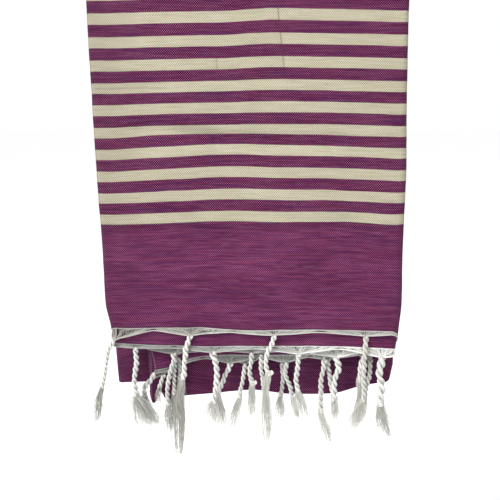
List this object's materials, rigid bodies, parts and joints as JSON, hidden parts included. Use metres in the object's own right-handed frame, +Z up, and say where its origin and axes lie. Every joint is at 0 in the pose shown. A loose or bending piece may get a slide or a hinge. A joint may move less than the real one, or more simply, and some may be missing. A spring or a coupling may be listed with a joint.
{
  "type": "hammam towel",
  "caption": "Striped flat-weave hammam towel with a twisted fringe, folded lengthwise and hung over a rail so that both fringed ends hang in front and the loop behind.",
  "frame": {"origin": "middle of the top edge, where the towel passes over its rail", "axes": "+Z up; -Y is the front with the stripes and both fringed ends; +X to the right as seen from the front"},
  "size_m": [0.362, 0.0531, 0.6085],
  "materials": {
    "cloth": "matte flat-woven cotton, purple with cream weft stripes",
    "fringe": "matte undyed cotton warp, hand-twisted"
  },
  "bodies": {
    "root": {"towel_cloth": "cloth", "fringe_front": "fringe", "fringe_inner": "fringe"}
  },
  "joints": []
}
